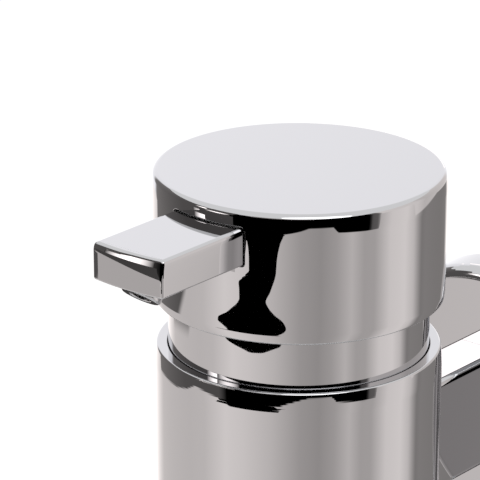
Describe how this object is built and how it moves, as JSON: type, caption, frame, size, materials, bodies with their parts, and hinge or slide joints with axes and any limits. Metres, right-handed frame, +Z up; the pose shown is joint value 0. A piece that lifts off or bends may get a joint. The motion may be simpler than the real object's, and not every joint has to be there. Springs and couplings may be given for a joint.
{
  "type": "wall-mounted soap dispenser",
  "caption": "Wall-mounted liquid soap dispenser: round polished steel body on an arm and rosette, lift-out pump with a press-down swivelling head and a flat spout.",
  "frame": {"origin": "centre of the rosette's back, on the wall face", "axes": "+Y into the wall, +Z up along the body, the spout points along -Y"},
  "size_m": [0.0624, 0.131, 0.158],
  "materials": {
    "polished_steel": "mirror-polished stainless steel",
    "plain_steel": "turned stainless steel, satin",
    "white_plastic": "moulded polypropylene, satin",
    "clear_plastic": "milky extruded polyethylene tube",
    "black_rubber": "moulded nitrile rubber, matt"
  },
  "bodies": {
    "body": {"body_shell": "polished_steel", "base_plate": "polished_steel", "mouth_ring": "white_plastic", "support_arm": "polished_steel", "rosette": "polished_steel", "fixing_disc": "plain_steel", "grub_screw": "plain_steel"},
    "pump_unit": {"collar": "polished_steel", "stopper": "white_plastic", "stopper_seal": "black_rubber", "pump_barrel": "white_plastic", "flange_gasket": "black_rubber", "guide_cap": "white_plastic", "stem_wiper": "black_rubber", "return_spring": "plain_steel", "inlet_cage": "white_plastic", "dip_tube": "clear_plastic"},
    "piston_carrier": {"piston": "white_plastic", "piston_seal": "black_rubber"},
    "head": {"head_shell": "polished_steel", "head_core": "white_plastic", "spout": "polished_steel", "feed_tube": "clear_plastic", "nozzle": "polished_steel", "stem": "white_plastic", "outlet_cage": "white_plastic"},
    "inlet_valve": {"inlet_ball": "plain_steel"},
    "outlet_valve": {"outlet_ball": "plain_steel"}
  },
  "joints": [
    {"name": "pump_lift", "type": "slide", "parent": "body", "child": "pump_unit", "axis": [0, 0, 1], "range_m": [0, 0.12]},
    {"name": "pump_stroke", "type": "slide", "parent": "pump_unit", "child": "piston_carrier", "axis": [0, 0, -1], "range_m": [0, 0.0095], "stiffness_N_per_m": 450, "springref_m": -0.01, "deforming": ["return_spring"]},
    {"name": "head_swivel", "type": "hinge", "parent": "piston_carrier", "child": "head", "pos_m": [0, -0.077, 0.05], "axis": [0, 0, 1], "continuous": true},
    {"name": "inlet_ball_lift", "type": "slide", "parent": "pump_unit", "child": "inlet_valve", "axis": [0, 0, 1], "range_m": [0, 0.0015]},
    {"name": "outlet_ball_lift", "type": "slide", "parent": "head", "child": "outlet_valve", "axis": [0, 0, 1], "range_m": [0, 0.001]}
  ]
}
